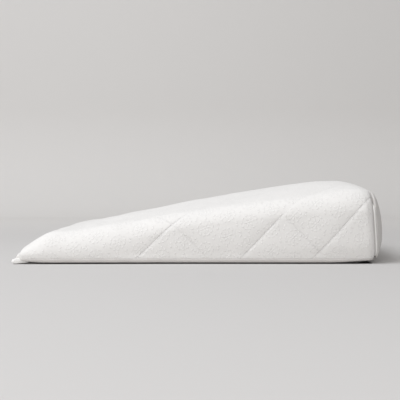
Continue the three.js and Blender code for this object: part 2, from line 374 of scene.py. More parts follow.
@dataclass(frozen=True)
class Quilting:
    """The diagonal quilting of the cloth, laid out on its flat pattern.

    On the pattern, x is the distance from the toe and y runs over the pillow from the near base
    seam. Both families of lines lie at 45 degrees there, on a lattice of whole steps.
    """

    step: float = 0.011
    squares_across: int = 66
    lattice_start: int = 3
    rising: tuple[int, ...] = (-59, -43, -27, -11, 5, 21, 37, 48)
    falling: tuple[int, ...] = (15, 32, 50, 67, 83, 99, 115)
    groove_depth: float = 0.0007
    groove_half_width: float = 0.0014
    valley_depth: float = 0.0007
    valley_above: float = 0.011
    valley_below: float = 0.003
    puff: float = 0.0011
    puff_reach: float = 0.034
    fade_start: float = 0.135
    fade_full: float = 0.200
    top_start: float = 0.052
    top_full: float = 0.095
    top_least: float = 0.9
    stretched_up: float = 0.100
    stretched_reach: float = 0.018
    stretched_loss: float = 0.55
    stretched_to: tuple[float, float] = (0.520, 0.575)
    pucker: float = 0.00035
    pucker_wavelength: float = 0.010
    pucker_reach: float = 0.009

    @property
    def width(self) -> float:
        """Width of the flat pattern, from base seam to base seam."""
        return self.step * self.squares_across

    def offsets(self, lines: tuple[int, ...]) -> np.ndarray:
        """Where lines of one family cross the near base seam on the pattern."""
        return (np.array(lines) - self.lattice_start) * self.step

    def below_rising(self, pattern: np.ndarray) -> np.ndarray:
        """Distance to the nearest rising line from places on the pattern, above zero below it."""
        off = (pattern[:, 0] - pattern[:, 1])[:, None] - self.offsets(self.rising)
        nearest = np.abs(off).argmin(axis=1)
        return off[np.arange(len(off)), nearest] / math.sqrt(2)

    def distance(self, pattern: np.ndarray) -> np.ndarray:
        """Distance from places on the pattern to the nearest quilting line."""
        off = (pattern[:, 0] + pattern[:, 1])[:, None] - self.offsets(self.falling)
        falling = np.abs(off).min(axis=1) / math.sqrt(2)
        return np.minimum(np.abs(self.below_rising(pattern)), falling)

    def strength(self, along: np.ndarray, up: np.ndarray) -> np.ndarray:
        """How far the quilting shows, from none on the stretched sides of the toe to all of it.

        Args:
            along: Distances from the toe.
            up: Distances over the cloth from the nearer base seam.

        Returns:
            Shares from 0 to 1.
        """
        on_top = self.top_least * smoothstep(up, self.top_start, self.top_full)
        over = np.exp(-(((up - self.stretched_up) / self.stretched_reach) ** 2))
        stretched = self.stretched_loss * over * (1 - smoothstep(along, *self.stretched_to))
        on_side = smoothstep(along, self.fade_start, self.fade_full)
        return np.maximum(on_side, on_top) * (1 - stretched)

    def groove(self, pattern: np.ndarray) -> np.ndarray:
        """Depth of the sewn grooves at places on the pattern, below zero."""
        below = self.below_rising(pattern)
        reach = np.where(below > 0, self.valley_below, self.valley_above)
        valley = self.valley_depth * np.exp(-((below / reach) ** 2))
        sewn = self.groove_depth * np.exp(-self.distance(pattern) / self.groove_half_width)
        return -sewn - valley

    def puckers(self, points: np.ndarray, distance: np.ndarray) -> np.ndarray:
        """Small gathers that the sewing thread draws beside the lines."""
        gather = ripple(points, self.pucker_wavelength, 3)
        return self.pucker * gather * np.exp(-distance / self.pucker_reach)


@dataclass(frozen=True)
class PressureSwell:
    """Swelling of a padded piece under pressure between the places where it is sewn down."""

    start_inset: float = 0.0015
    voxel: float = 0.006
    pressure: float = 4.0
    frames: int = 20
    smoothings: int = 2
    ray_reach: float = 0.03

    def run(self, rest: Object, sewn: np.ndarray) -> BVHTree:
        """Simulates a copy of a closed piece.

        Args:
            rest: The closed piece before it swells.
            sewn: For each face of it, whether it is sewn down.

        Returns:
            The swollen surface.
        """
        places = BVHTree.FromObject(rest, bpy.context.evaluated_depsgraph_get())
        mesh = rest.data.copy()
        normals = np.empty(len(mesh.vertices) * 3)
        mesh.vertex_normals.foreach_get("vector", normals)
        set_coordinates(mesh, coordinates(mesh) - normals.reshape(-1, 3) * self.start_inset)
        bag = mesh_object("swelling", mesh)
        remesh = bag.modifiers.new("remesh", "REMESH")
        remesh.mode = "VOXEL"
        remesh.voxel_size = self.voxel
        self.apply(bag)
        group = bag.vertex_groups.new(name="sewn")
        held = [v.index for v in bag.data.vertices if sewn[places.find_nearest(v.co)[2]]]
        group.add(held, 1.0, "REPLACE")
        cloth = bag.modifiers.new("cloth", "CLOTH")
        cloth.settings.use_pressure = True
        cloth.settings.uniform_pressure_force = self.pressure
        cloth.settings.vertex_group_mass = group.name
        cloth.settings.effector_weights.gravity = 0
        cloth.collision_settings.use_collision = False
        scene = bpy.context.scene
        for number in range(1, self.frames + 1):
            scene.frame_set(number)
        self.apply(bag)
        bm = bmesh.new()
        bm.from_mesh(bag.data)
        every_way = {"use_axis_x": True, "use_axis_y": True, "use_axis_z": True}
        for _ in range(self.smoothings):
            bmesh.ops.smooth_vert(bm, verts=bm.verts, factor=0.5, **every_way)
        bm.to_mesh(bag.data)
        bm.free()
        rounding = bag.modifiers.new("rounding", "SUBSURF")
        rounding.levels = rounding.render_levels = 1
        self.apply(bag)
        swollen = BVHTree.FromObject(bag, bpy.context.evaluated_depsgraph_get())
        bpy.data.objects.remove(bag)
        scene.frame_set(1)
        return swollen

    @staticmethod
    def apply(obj: Object) -> None:
        """Leaves the modifiers' result as the object's own mesh."""
        shown = obj.evaluated_get(bpy.context.evaluated_depsgraph_get())
        mesh = bpy.data.meshes.new_from_object(shown)
        obj.modifiers.clear()
        obj.data = mesh

    def rise(self, swollen: BVHTree, points: np.ndarray, normals: np.ndarray) -> np.ndarray:
        """How far the swollen surface stands over each point, from where it started."""
        rises = np.zeros(len(points))
        for k, (point, normal) in enumerate(zip(points, normals)):
            out = Vector(normal)
            hit = swollen.ray_cast(Vector(point) + out * self.ray_reach, -out, 2 * self.ray_reach)
            if hit[0] is not None:
                rises[k] = self.ray_reach - hit[3] + self.start_inset
        return rises


@dataclass
class QuiltedCushion(Piece):
    """The foam wedge in its quilted cloth, with no seam along the top edges."""

    slot = Slot.QUILTED
    node = "quilted_body"
    fill = 0.95
    form: WedgeForm
    table: ClothTable
    quilting: Quilting
    swell: PressureSwell = field(default_factory=PressureSwell)
    cells_per_step: int = 3
    most_rise: float = 0.0022
    rise_level: float = 0.0009
    base_cuts: int = 11
    toe_rounding: float = 0.0054
    toe_cap_height: float = 0.0098
    toe_steps: int = 4
    sag_wavelengths: tuple[float, float] = (0.085, 0.036)
    sag_depths: tuple[float, float] = (0.0010, 0.00035)
    seam_fade: float = 0.010
    tuck_line: float = 0.0012
    tuck_line_back: float = 0.0062
    tuck_line_half_width: float = 0.0022
    # rise and end of the tuck over the cloth, from the middle of the rounded edge
    tuck_line_roll: float = 0.8
    tuck_line_start: tuple[float, float] = (-0.040, -0.020)
    tuck_line_end: tuple[float, float] = (-0.004, 0.010)
    sewn_distance: float = 0.0045
    unsewn_distance: float = 0.010
    falling_distance: float = 0.0006

    def flat_cloth(self) -> Mesh:
        """Cuts the flat pattern from a net turned by 45 degrees, so that it follows the lines."""
        pitch = self.quilting.step / math.sqrt(2) / self.cells_per_step
        low = -self.quilting.width / math.sqrt(2)
        high = (self.form.length + self.quilting.width) / math.sqrt(2)
        half = math.ceil((high / 2) / pitch) + 2
        middle_x = round((low + self.form.length / math.sqrt(2)) / 2 / pitch) * pitch
        middle_y = round(high / 2 / pitch) * pitch
        bm = bmesh.new()
        bmesh.ops.create_grid(
            bm,
            x_segments=2 * half,
            y_segments=2 * half,
            size=half * pitch,
            matrix=Matrix.Translation((middle_x, middle_y, 0)),
        )
        turn = Matrix.Rotation(-math.pi / 4, 3, "Z")
        bmesh.ops.rotate(bm, cent=(0, 0, 0), matrix=turn, verts=bm.verts)
        edges = (
            ((0, 0, 0), (-1, 0, 0)),
            ((self.form.length, 0, 0), (1, 0, 0)),
            ((0, 0, 0), (0, -1, 0)),
            ((0, self.quilting.width, 0), (0, 1, 0)),
        )
        for place, outward in edges:
            geometry = bm.verts[:] + bm.edges[:] + bm.faces[:]
            cut = {"plane_co": place, "plane_no": outward, "clear_outer": True}
            bmesh.ops.bisect_plane(bm, geom=geometry, dist=TIGHT, **cut)
        return to_mesh(bm)

    def close(self, mesh: Mesh, pattern: np.ndarray) -> Mesh:
        """Shuts the wrapped cloth below and at both ends.

        Args:
            mesh: The cloth wrapped round the foam, open below and at its ends, removed here.
            pattern: Flat place of each of its vertices.

        Returns:
            The closed mesh, with the cloth's own vertices first.
        """
        bm = reopened(mesh)
        bm.verts.ensure_lookup_table()
        rim = [edge for edge in bm.edges if edge.is_boundary]
        sides = [
            edge
            for y in (0, self.quilting.width)
            for edge in rim
            if all(abs(pattern[v.index][1] - y) < TIGHT for v in edge.verts)
        ]
        for edge in sides:
            edge.smooth = False
        bridge = bmesh.ops.bridge_loops(bm, edges=sides)
        across = [edge for edge in bridge["edges"] if len({v.co.y > 0 for v in edge.verts}) == 2]
        bmesh.ops.subdivide_edges(bm, edges=across, cuts=self.base_cuts, use_grid_fill=True)
        bm.verts.index_update()
        for vert in bm.verts:
            if vert.index >= len(pattern):
                x = np.array([vert.co.x + self.form.toe_to_origin])
                place = self.form.settle(x, np.array([vert.co.y]), np.array([vert.co.z]))[0]
                vert.co.x = place[0]
        rim = [edge for edge in bm.edges if edge.is_boundary]
        toe = [edge for edge in rim if edge.verts[0].co.x < 0]
        end = [edge for edge in rim if edge.verts[0].co.x > 0]
        for edge in end:
            edge.smooth = False
        centre = self.toe_cap_height
        turns = [math.pi / 2 * k / (self.toe_steps + 0.5) for k in range(self.toe_steps + 1)]
        for before, turn in zip(turns, turns[1:]):
            toe, verts = drawn_out(bm, toe)
            for vert in verts:
                vert.co.x -= self.toe_rounding * (math.sin(turn) - math.sin(before))
                vert.co.z = centre + (vert.co.z - centre) * (math.cos(turn) / math.cos(before))
        for loop in (toe, end):
            bmesh.ops.contextual_create(bm, geom=loop)
        return closed_mesh(bm)

    def build(self) -> Object:
        """Wraps, swells and quilts the cloth.

        Returns:
            The closed cushion.
        """
        cloth = self.flat_cloth()
        pattern = coordinates(cloth)[:, :2]
        along, share = pattern[:, 0], pattern[:, 1] / self.quilting.width
        points, normals = self.table.at(along, share)
        distance = self.quilting.distance(pattern)
        arc = self.table.arc(along)
        set_coordinates(cloth, points)
        set_uv(cloth, np.stack([along, (share - 0.5) * arc], axis=-1))
        up = np.minimum(share, 1 - share) * arc
        strength = self.quilting.strength(along, up)
        mark = cloth.attributes.new(LINE_DISTANCE, "FLOAT", "POINT")
        falling = distance < np.abs(self.quilting.below_rising(pattern))
        shown = distance + (1 - strength) * self.unsewn_distance + falling * self.falling_distance
        mark.data.foreach_set("value", shown)
        cushion = mesh_object("quilted_cushion", self.close(cloth, pattern))
        swelling = self.simulated(cushion, pattern, points, normals)
        edge_fade = smoothstep(np.minimum(self.form.length - along, up), 0, self.seam_fade)
        relief = swelling + self.quilting.groove(pattern) + self.quilting.puckers(points, distance)
        sag = sum(
            depth * ripple(points, wavelength, seed)
            for seed, (depth, wavelength) in enumerate(zip(self.sag_depths, self.sag_wavelengths))
        )
        corner = self.end_corner(along, up)
        moved = points + normals * ((relief * strength + sag) * edge_fade + corner)[:, None]
        moved[:, 2] = np.maximum(moved[:, 2], self.form.seam_height)
        places = coordinates(cushion.data)
        places[: len(moved)] = moved
        set_coordinates(cushion.data, places)
        return cushion

    def end_corner(self, along: np.ndarray, up: np.ndarray) -> np.ndarray:
        """Relief of the tuck beside the end seam, under the pinched corner.

        Args:
            along: Distance of each cloth vertex from the toe.
            up: Its arc length from the nearer base seam.

        Returns:
            How far each vertex stands out.
        """
        wall, roll, _ = self.form.heights(self.form.length)
        above = up - (wall - self.form.seam_height + self.tuck_line_roll * roll)
        back = self.form.length - along
        beside = np.exp(-(((back - self.tuck_line_back) / self.tuck_line_half_width) ** 2))
        begun = smoothstep(above, *self.tuck_line_start)
        return -self.tuck_line * beside * begun * (1 - smoothstep(above, *self.tuck_line_end))

    def simulated(
        self, cushion: Object, pattern: np.ndarray, points: np.ndarray, normals: np.ndarray
    ) -> np.ndarray:
        """Swelling from the cloth simulation, level with the evenly puffed cloth.

        Args:
            cushion: The closed cushion at rest.
            pattern: Flat place of each cloth vertex.
            points: Place of each cloth vertex.
            normals: Outward normal at each.

        Returns:
            The swelling at each cloth vertex.
        """
        first = np.array([face.vertices[0] for face in cushion.data.polygons])
        inside = first < len(pattern)
        flat = pattern[np.minimum(first, len(pattern) - 1)]
        on_line = self.quilting.distance(flat) < self.sewn_distance
        on_line &= flat[:, 0] > self.quilting.fade_start
        size = np.array([self.form.length, self.quilting.width])
        on_edge = (np.minimum(flat, size - flat) < self.sewn_distance).any(axis=1)
        swollen = self.swell.run(cushion, ~inside | on_line | on_edge)
        rises = self.swell.rise(swollen, points, normals)
        return self.most_rise * np.tanh(np.maximum(rises, 0) / self.most_rise) - self.rise_level


@dataclass
class QuiltStitches(Piece):
    """The thread that shows in the grooves, as short stitches."""

    slot = Slot.SEAM
    table: ClothTable
    quilting: Quilting
    pitch: float = 0.0042
    length: float = 0.0031
    thickness: float = 0.00060
    stands_up: float = 0.00012
    seam_margin: float = 0.004
    ray_start: float = 0.02
    least_strength: float = 0.3

    def places(self) -> tuple[np.ndarray, np.ndarray]:
        """Flat places of the stitches, and how each is turned on the pattern."""
        length, width = self.table.form.length, self.quilting.width
        spots, ways = [], []
        for lines, sign in ((self.quilting.rising, 1), (self.quilting.falling, -1)):
            for offset in self.quilting.offsets(lines):
                y = np.arange(self.seam_margin, width - self.seam_margin, self.pitch / math.sqrt(2))
                x = offset + sign * y
                up = np.minimum(y, width - y) / width * self.table.arc(x)
                sewn = self.quilting.strength(x, up) > self.least_strength
                keep = (x > self.seam_margin) & (x < length - self.seam_margin) & sewn
                spots.append(np.stack([x[keep], y[keep]], axis=-1))
                ways.append(np.tile([sign, 1.0], (int(keep.sum()), 1)))
        return np.concatenate(spots), np.concatenate(ways)

    def build(self, cushion: Object) -> Object:
        """Lays the stitches on the finished cushion.

        Args:
            cushion: The finished cushion.

        Returns:
            All stitches as one piece.
        """
        surface = BVHTree.FromObject(cushion, bpy.context.evaluated_depsgraph_get())
        spots, ways = self.places()
        width = self.quilting.width
        points, normals = self.table.at(spots[:, 0], spots[:, 1] / width)
        further = spots + ways * (self.length / 4)
        ahead, _ = self.table.at(further[:, 0], further[:, 1] / width)
        size = Matrix.Diagonal((self.length / 2, self.thickness / 2, self.thickness / 2, 1))
        bm = bmesh.new()
        for point, normal, nearby in zip(points, normals, ahead):
            out = Vector(normal)
            hit = surface.ray_cast(Vector(point) + out * self.ray_start, -out, 2 * self.ray_start)
            if hit[0] is None:
                continue
            run = (Vector(nearby) - Vector(point)).normalized()
            side = out.cross(run).normalized()
            turn = Matrix((run, side, run.cross(side))).transposed().to_4x4()
            place = Matrix.Translation(hit[0] + out * self.stands_up)
            bmesh.ops.create_icosphere(bm, subdivisions=1, radius=1, matrix=place @ turn @ size)
        return mesh_object("quilt_stitches", to_mesh(bm))


@dataclass
class EndOutline:
    """The closed outline of the thick end, seen from the toe."""

    form: WedgeForm
    ring: np.ndarray = field(init=False)
    reached: np.ndarray = field(init=False)
    corner: float = field(init=False)
    top_sink: float = 0.0030
    top_sink_height: tuple[float, float] = (0.094, 0.106)

    def __post_init__(self) -> None:
        """Measures the outline and finds the arc length of its upper near corner."""
        ring = self.form.section(self.form.length)
        self.ring = np.concatenate([ring, ring[:1]])
        steps = np.linalg.norm(np.diff(self.ring, axis=0), axis=1)
        self.reached = np.concatenate([[0], np.cumsum(steps)])
        self.corner = float(self.reached[self.form.section_steps + self.form.section_steps // 2])

    @property
    def open_length(self) -> float:
        """Arc length from the near base seam over the top to the far one."""
        return float(self.reached[-2])

    @property
    def total(self) -> float:
        """Arc length of the whole closed outline."""
        return float(self.reached[-1])

    def at(self, arc: np.ndarray) -> np.ndarray:
        """Rows of (y, z) at arc lengths from the near base seam."""
        arc = np.mod(arc, self.total)
        return np.stack([np.interp(arc, self.reached, self.ring[:, c]) for c in (0, 1)], axis=-1)

    def outward(self, arc: np.ndarray, reach: float = 0.003) -> np.ndarray:
        """Unit ways out of the outline, rounded over a short reach."""
        run = self.at(arc + reach) - self.at(arc - reach)
        out = np.stack([-run[:, 1], run[:, 0]], axis=-1)
        return out / np.linalg.norm(out, axis=1, keepdims=True)

    def sunk(self, arc: np.ndarray) -> np.ndarray:
        """Rows of (y, z) where the seam lies, drawn in below the cloth's edge over the top."""
        edge = self.at(arc)
        depth = self.top_sink * smoothstep(edge[:, 1], *self.top_sink_height)
        return edge - self.outward(arc) * depth[:, None]

    def from_square(self, a: np.ndarray, b: np.ndarray) -> tuple[np.ndarray, np.ndarray, np.ndarray]:
        """Carries places of a square to the outline.

        Args:
            a: Across the square, from -1 at the near side to 1.
            b: Up the square, from -1 at the base to 1.

        Returns:
            Share of the way from the middle, the outline's points and their arc lengths.
        """
        share = np.maximum(np.abs(a), np.abs(b))
        safe = np.maximum(share, TIGHT)
        fraction_up, fraction_across = (b / safe + 1) / 2, (a / safe + 1) / 2
        side_arc = self.corner * fraction_up
        top_arc = self.corner + (self.open_length - 2 * self.corner) * fraction_across
        base_arc = self.total - (self.total - self.open_length) * fraction_across
        side = np.where(a < 0, side_arc, self.open_length - side_arc)
        arc = np.where(np.abs(a) >= np.abs(b), side, np.where(b > 0, top_arc, base_arc))
        return share, self.sunk(arc), arc


@dataclass
class EndPanel(Piece):
    """The plain panel of the thick end, swollen by the foam behind it."""

    slot = Slot.PLAIN
    node = "end_panel"
    fill = 0.95
    form: WedgeForm
    outline: EndOutline
    bulge: float = 0.041
    bulge_height: float = 0.058
    bulge_reach: float = 0.080
    across_power: float = 0.44
    upright_power: float = 0.75
    low_loss: float = 0.22
    low_height: float = 0.036
    rim: float = 0.0039
    rim_edge: float = 0.0013
    seam_depth: float = 0.0063
    segments: tuple[int, int] = (150, 46)
    pucker: float = 0.0007
    pucker_wavelength: float = 0.012
    pucker_reach: float = 0.016
    pucker_stretch: float = 0.3
    sag: float = 0.0012
    sag_wavelength: float = 0.07
    seam_fade: float = 0.004
    rim_power: int = 6
    rim_rounding: float = 0.0008
    back_gap: float = 0.0003

    def build(self) -> Object:
        """Domes the panel and turns its edge back into the seam.

        Returns:
            The closed panel.
        """
        mesh = square_net(*self.segments, 1)
        square = coordinates(mesh)
        share, edge, arc = self.outline.from_square(square[:, 0], square[:, 1])
        middle = self.outline.ring[:-1].mean(axis=0) * [0, 1]
        flat = middle + (edge - middle) * share[:, None]
        half = self.form.half_width(self.form.length)
        sideways = np.maximum(0, 1 - (flat[:, 0] / half) ** 2) ** self.across_power
        off = (flat[:, 1] - self.bulge_height) / self.bulge_reach
        upright = np.maximum(0, 1 - off**2) ** self.upright_power
        kept = 1 - self.low_loss * np.clip(1 - flat[:, 1] / self.low_height, 0, 1)
        rounded = np.sqrt(1 - share**self.rim_power)
        swell = (self.bulge - self.rim - self.rim_edge) * sideways * upright * kept * rounded
        from_seam = (1 - share) * np.linalg.norm(edge - middle, axis=1)
        around = np.stack([arc, 0 * arc, from_seam * self.pucker_stretch], axis=-1)
        gathers = ripple(around, self.pucker_wavelength, 5) * np.exp(-from_seam / self.pucker_reach)
        sag = ripple(np.stack([*flat.T, 0 * arc], axis=-1), self.sag_wavelength, 6)
        relief = self.pucker * gathers + self.sag * sag
        relief *= smoothstep(from_seam, 0, self.seam_fade)
        out = swell + relief - np.abs(relief).max() * swell / self.bulge
        x = self.form.length + self.rim + self.rim_edge + out
        set_uv(mesh, flat)
        set_coordinates(mesh, self.form.settle(x, flat[:, 0], flat[:, 1]))
        bm = reopened(mesh)
        rim = [e for e in bm.edges if e.is_boundary]
        steps = (
            (-self.rim_edge, self.rim_rounding),
            (0.0, self.seam_depth - self.rim_rounding),
            (-self.rim + self.back_gap, 0.0),
        )
        for back, inset in steps:
            rim, verts = drawn_out(bm, rim)
            for vert in verts:
                vert.co.x += back
                vert.co.y *= 1 - inset / half
                vert.co.z = middle[1] + (vert.co.z - middle[1]) * (1 - inset / middle[1])
        bmesh.ops.contextual_create(bm, geom=rim)
        return mesh_object("end_cloth", closed_mesh(bm))


@dataclass
class EndSeam(Piece):
    """The sewn ridge round the thick end."""

    slot = Slot.SEAM
    node = "end_seam"
    form: WedgeForm
    outline: EndOutline
    centre: float = 0.00200
    half_thickness: float = 0.00195
    depth: float = 0.0080
    proud: float = 0.0034
    least_proud: float = -0.0060
    foot: tuple[float, float] = (0.003, 0.022)
    shoulder: tuple[float, float] = (0.094, 0.108)
    around: int = 700
    profile_steps: int = 14
    stitch: float = 0.0046
    stitch_dimple: float = 0.00022
    waver: float = 0.0003
    waver_wavelength: float = 0.024
    thickness_waver: float = 0.2
    roundness: float = 0.8

    def build(self) -> Object:
        """Rolls a strip into the closed ridge.

        Returns:
            The ridge.
        """
        mesh = square_net(self.around, self.profile_steps, 0.5)
        strip = coordinates(mesh)
        arc = (strip[:, 0] + 0.5) * self.outline.total
        turn = (strip[:, 1] + 0.5) * 2 * math.pi
        edge, out = self.outline.sunk(arc), self.outline.outward(arc)
        circle = arc / self.outline.total * 2 * math.pi
        radius = self.outline.total / (2 * math.pi)
        spots = np.stack([np.cos(circle) * radius, np.sin(circle) * radius, 0 * arc], axis=-1)
        wander = ripple(spots, self.waver_wavelength, 8)
        stitches = round(self.outline.total / self.stitch)
        dimple = np.cos(circle * stitches) * self.stitch_dimple
        shown = smoothstep(edge[:, 1], *self.foot) * (1 - smoothstep(edge[:, 1], *self.shoulder))
        stands = self.proud - self.least_proud + self.waver * wander + dimple
        proud = self.least_proud + stands * shown
        radial = proud - self.depth / 2 + self.depth / 2 * np.cos(turn)
        bend = np.sign(np.sin(turn)) * np.abs(np.sin(turn)) ** self.roundness
        sideways = self.half_thickness * bend * (1 + self.thickness_waver * wander)
        flat = edge + out * radial[:, None]
        x = self.form.length + self.centre + sideways
        set_uv(mesh, np.stack([arc, turn * self.proud], axis=-1))
        set_coordinates(mesh, self.form.settle(x, flat[:, 0], flat[:, 1]))
        bm = reopened(mesh)
        bmesh.ops.remove_doubles(bm, verts=bm.verts, dist=TIGHT)
        return mesh_object("end_seam_ridge", closed_mesh(bm))


@dataclass
class BasePanel(Piece):
    """The plain panel under the pillow, turned up to the base seam."""

    slot = Slot.PLAIN
    node = "base_panel"
    fill = 1.0
    form: WedgeForm
    segments: tuple[int, int] = (200, 120)
    toe_lift_reach: float = 0.060
    toe_lift: float = 0.018
    toe_raise_reach: float = 0.042
    toe_raise: float = 0.0042
    corner_lift_reach: float = 0.075
    corner_lift: float = 0.012
    corner_roll: float = 0.005
    corner_raise: float = 0.0040
    inner_spread: float = 0.3
    # height and inset from the body's base outline in millimetres, and share of the lifts
    rim: tuple[tuple[float, float, float], ...] = (
        (0.0, 22.0, 1.0),
        (0.8, 13.5, 0.95),
        (1.4, 9.2, 0.85),
        (1.9, 6.6, 0.7),
        (2.4, 4.7, 0.5),
        (3.1, 3.1, 0.2),
        (4.2, 1.8, 0.0),
        (5.6, 0.9, 0.0),
        (7.3, 0.3, 0.0),
        (9.1, 0.0, 0.0),
    )
    waver: float = 0.0003
    waver_wavelength: float = 0.024

    def half_width(self, along: np.ndarray) -> np.ndarray:
        """Half width of the body at its base seam."""
        form = self.form
        return np.array([form.half_width(float(a)) - form.tuck(float(a))[0] for a in along])

    def build(self) -> Object:
        """Spreads the panel and turns its edge up.

        Returns:
            The closed panel.
        """
        mesh = square_net(*self.segments, 0.5)
        square = coordinates(mesh)
        along = (square[:, 0] + 0.5) * self.form.length
        y = square[:, 1] * 2 * self.half_width(along)
        places = self.form.settle(along, y, np.full_like(y, self.form.seam_height))
        set_uv(mesh, places[:, :2])
        set_coordinates(mesh, places)
        bm = reopened(mesh)
        rim = [e for e in bm.edges if e.is_boundary]
        moved = {v: (v.co.copy(), self.outward(v)) for e in rim for v in e.verts}
        low, high = -self.form.toe_to_origin, self.form.length - self.form.toe_to_origin

        def near(distance: float, reach: float) -> float:
            """Share that falls from 1 to 0 over a reach."""
            return max(0.0, 1 - distance / reach) ** 2

        _, inset, lift = self.rim[0]
        for vert in (v for v in bm.verts if v not in moved):
            ahead = vert.co.x - low
            limit = low + (inset * MM + self.toe_lift * near(ahead, self.toe_lift_reach) * lift)
            vert.co.x = max(vert.co.x, limit + ahead * self.inner_spread)
            vert.co.z = 0
        for k, (height, inset, lift) in enumerate(self.rim):
            if k:
                rim, fresh = drawn_out(bm, rim)
                old = {tuple(round(c, 7) for c in v.co): data for v, data in moved.items()}
                moved = {v: old[tuple(round(c, 7) for c in v.co)] for v in fresh}
            wavers = 0 < k < len(self.rim) - 1
            below = 1 - height * MM / self.form.seam_height
            for vert, (place, out) in moved.items():
                toe = near(place.x - low, self.toe_lift_reach)
                to_corner = math.hypot(high - place.x, self.form.width / 2 - abs(place.y))
                corner = near(to_corner, self.corner_lift_reach)
                total = inset * MM + (self.toe_lift * toe + self.corner_lift * corner) * lift
                total += noise.noise(place / self.waver_wavelength) * self.waver * wavers
                total += self.corner_roll * corner * below**2
                toe_raise = self.toe_raise * near(place.x - low, self.toe_raise_reach)
                raised = (self.corner_raise * corner + toe_raise) * below * (k > 0)
                vert.co = place - out * total
                vert.co.z = height * MM + raised
        bmesh.ops.contextual_create(bm, geom=rim)
        return mesh_object("base_cloth", closed_mesh(bm))

    @staticmethod
    def outward(vert: BMVert) -> Vector:
        """Way out of the panel at a vertex of its edge, level."""
        around = [edge for edge in vert.link_edges if edge.is_boundary]
        out = Vector((0, 0, 0))
        for edge in around:
            run = edge.verts[1].co - edge.verts[0].co
            side = Vector((run.y, -run.x, 0)).normalized()
            face = edge.link_faces[0].calc_center_median()
            out += side if side.dot(edge.verts[0].co - face) > 0 else -side
        return out.normalized()


class Side(Enum):
    """The two sides of the pillow."""

    NEAR = -1
    FAR = 1


@dataclass
class ToeEar(Piece):
    """A corner of the cover at the toe, pinched flat and folded outwards."""

    slot = Slot.SEAM
    form: WedgeForm
    side: Side
    root_inward: tuple[float, float] = (0.012, 0.010)
    reach: float = 0.0120
    tip_out: float = 0.0062
    root_width: float = 0.030
    tip_width: float = 0.0085
    corner_inset: float = 0.0100
    root_height: float = 0.0080
    tip_height: float = 0.0042
    root_thickness: float = 0.0066
    tip_thickness: float = 0.0037
    roundness: float = 0.5
    narrowing: float = 0.8
    crease: float = 0.0011
    crease_half_width: float = 0.28
    crease_fade: float = 0.6
    waver: float = 0.0004
    waver_pitch: float = 2.3
    floor_gap: float = 0.0004
    cuts: int = 15

    @property
    def node(self) -> str:
        """The frame's node for the ear."""
        return f"toe_ear_{self.side.name.lower()}"

    def build(self) -> Object:
        """Draws a rounded block out into the pinched corner.

        Returns:
            The ear.
        """
        bm = bmesh.new()
        bmesh.ops.create_cube(bm, size=2)
        bmesh.ops.subdivide_edges(bm, edges=bm.edges, cuts=self.cuts, use_grid_fill=True)
        corner = Vector((-self.form.toe_to_origin, self.corner_inset - self.form.width / 2, 0))
        root = corner + Vector((*self.root_inward, 0))
        tip = corner + Vector((-self.reach, -self.tip_out, 0))
        run = tip - root
        ahead = run.normalized()
        beside = Vector((-ahead.y, ahead.x, 0))

        def along(start: float, end: float, share: float) -> float:
            """Value on the way from the root to the tip."""
            return start + (end - start) * share

        for vert in bm.verts:
            ball = vert.co.normalized()
            flat = vert.co.lerp(ball * max(abs(c) for c in vert.co), self.roundness)
            t = (flat.x + 1) / 2
            width = along(self.root_width, self.tip_width, t**self.narrowing)
            fold = math.exp(-((flat.y / self.crease_half_width) ** 2)) * max(0.0, flat.z)
            dip = self.crease * fold * (1 - self.crease_fade * t)
            middle = along(self.root_height, self.tip_height, t)
            z = middle + along(self.root_thickness, self.tip_thickness, t) * flat.z - dip
            z += self.waver * noise.noise(flat * self.waver_pitch)
            place = root + ahead * (run.length * t) + beside * (width / 2 * flat.y)
            vert.co = Vector((place.x, place.y * -self.side.value, max(z, self.floor_gap)))
        return mesh_object(f"toe_corner_{self.side.name.lower()}", closed_mesh(bm))


Value = float | tuple[float, ...] | NodeSocket


